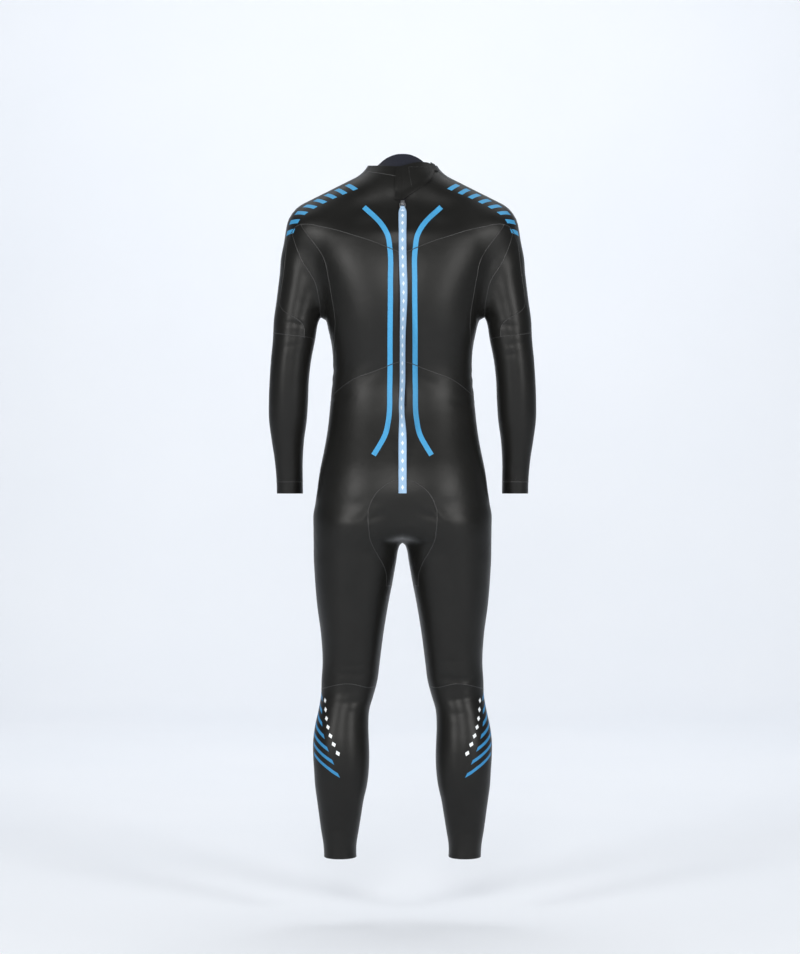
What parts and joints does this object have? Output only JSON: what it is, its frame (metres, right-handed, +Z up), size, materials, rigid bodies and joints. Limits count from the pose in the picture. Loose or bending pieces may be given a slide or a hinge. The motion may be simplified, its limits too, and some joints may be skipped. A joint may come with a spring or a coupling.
{
  "type": "swimming wetsuit",
  "caption": "Full-length swimming wetsuit with long sleeves and legs, hollow and filled out as worn, with a back zip and a long webbing leash.",
  "frame": {"origin": "middle of the neck opening at the height of the shoulders, which carry the suit", "axes": "+Z up along the body, +Y towards the back with the zip, +X to the wearer's left"},
  "size_m": [0.5588, 0.2511, 1.4573],
  "materials": {
    "neoprene": "smooth-skin neoprene, satin black",
    "lining": "dark navy jersey-faced neoprene",
    "hook_tape": "black hook tape",
    "zip": "black woven tape and nylon coil",
    "metal": "gunmetal plating, satin",
    "webbing": "pale blue woven tape"
  },
  "bodies": {
    "root": {"shoulder_l": "neoprene", "shoulder_r": "neoprene", "back_l": "neoprene", "back_r": "neoprene", "side_l": "neoprene", "side_r": "neoprene", "sleeve_l": "neoprene", "sleeve_r": "neoprene", "forearm_l": "neoprene", "forearm_r": "neoprene", "cuff_l": "neoprene", "cuff_r": "neoprene", "thigh_l": "neoprene", "thigh_r": "neoprene", "calf_l": "neoprene", "calf_r": "neoprene", "front": "neoprene", "gusset": "neoprene", "collar": "neoprene", "flap": "neoprene", "hook_tape": "hook_tape", "neck_guard": "lining", "zip": "zip", "slider": "metal", "ring": "metal", "leash": "webbing"}
  },
  "joints": []
}
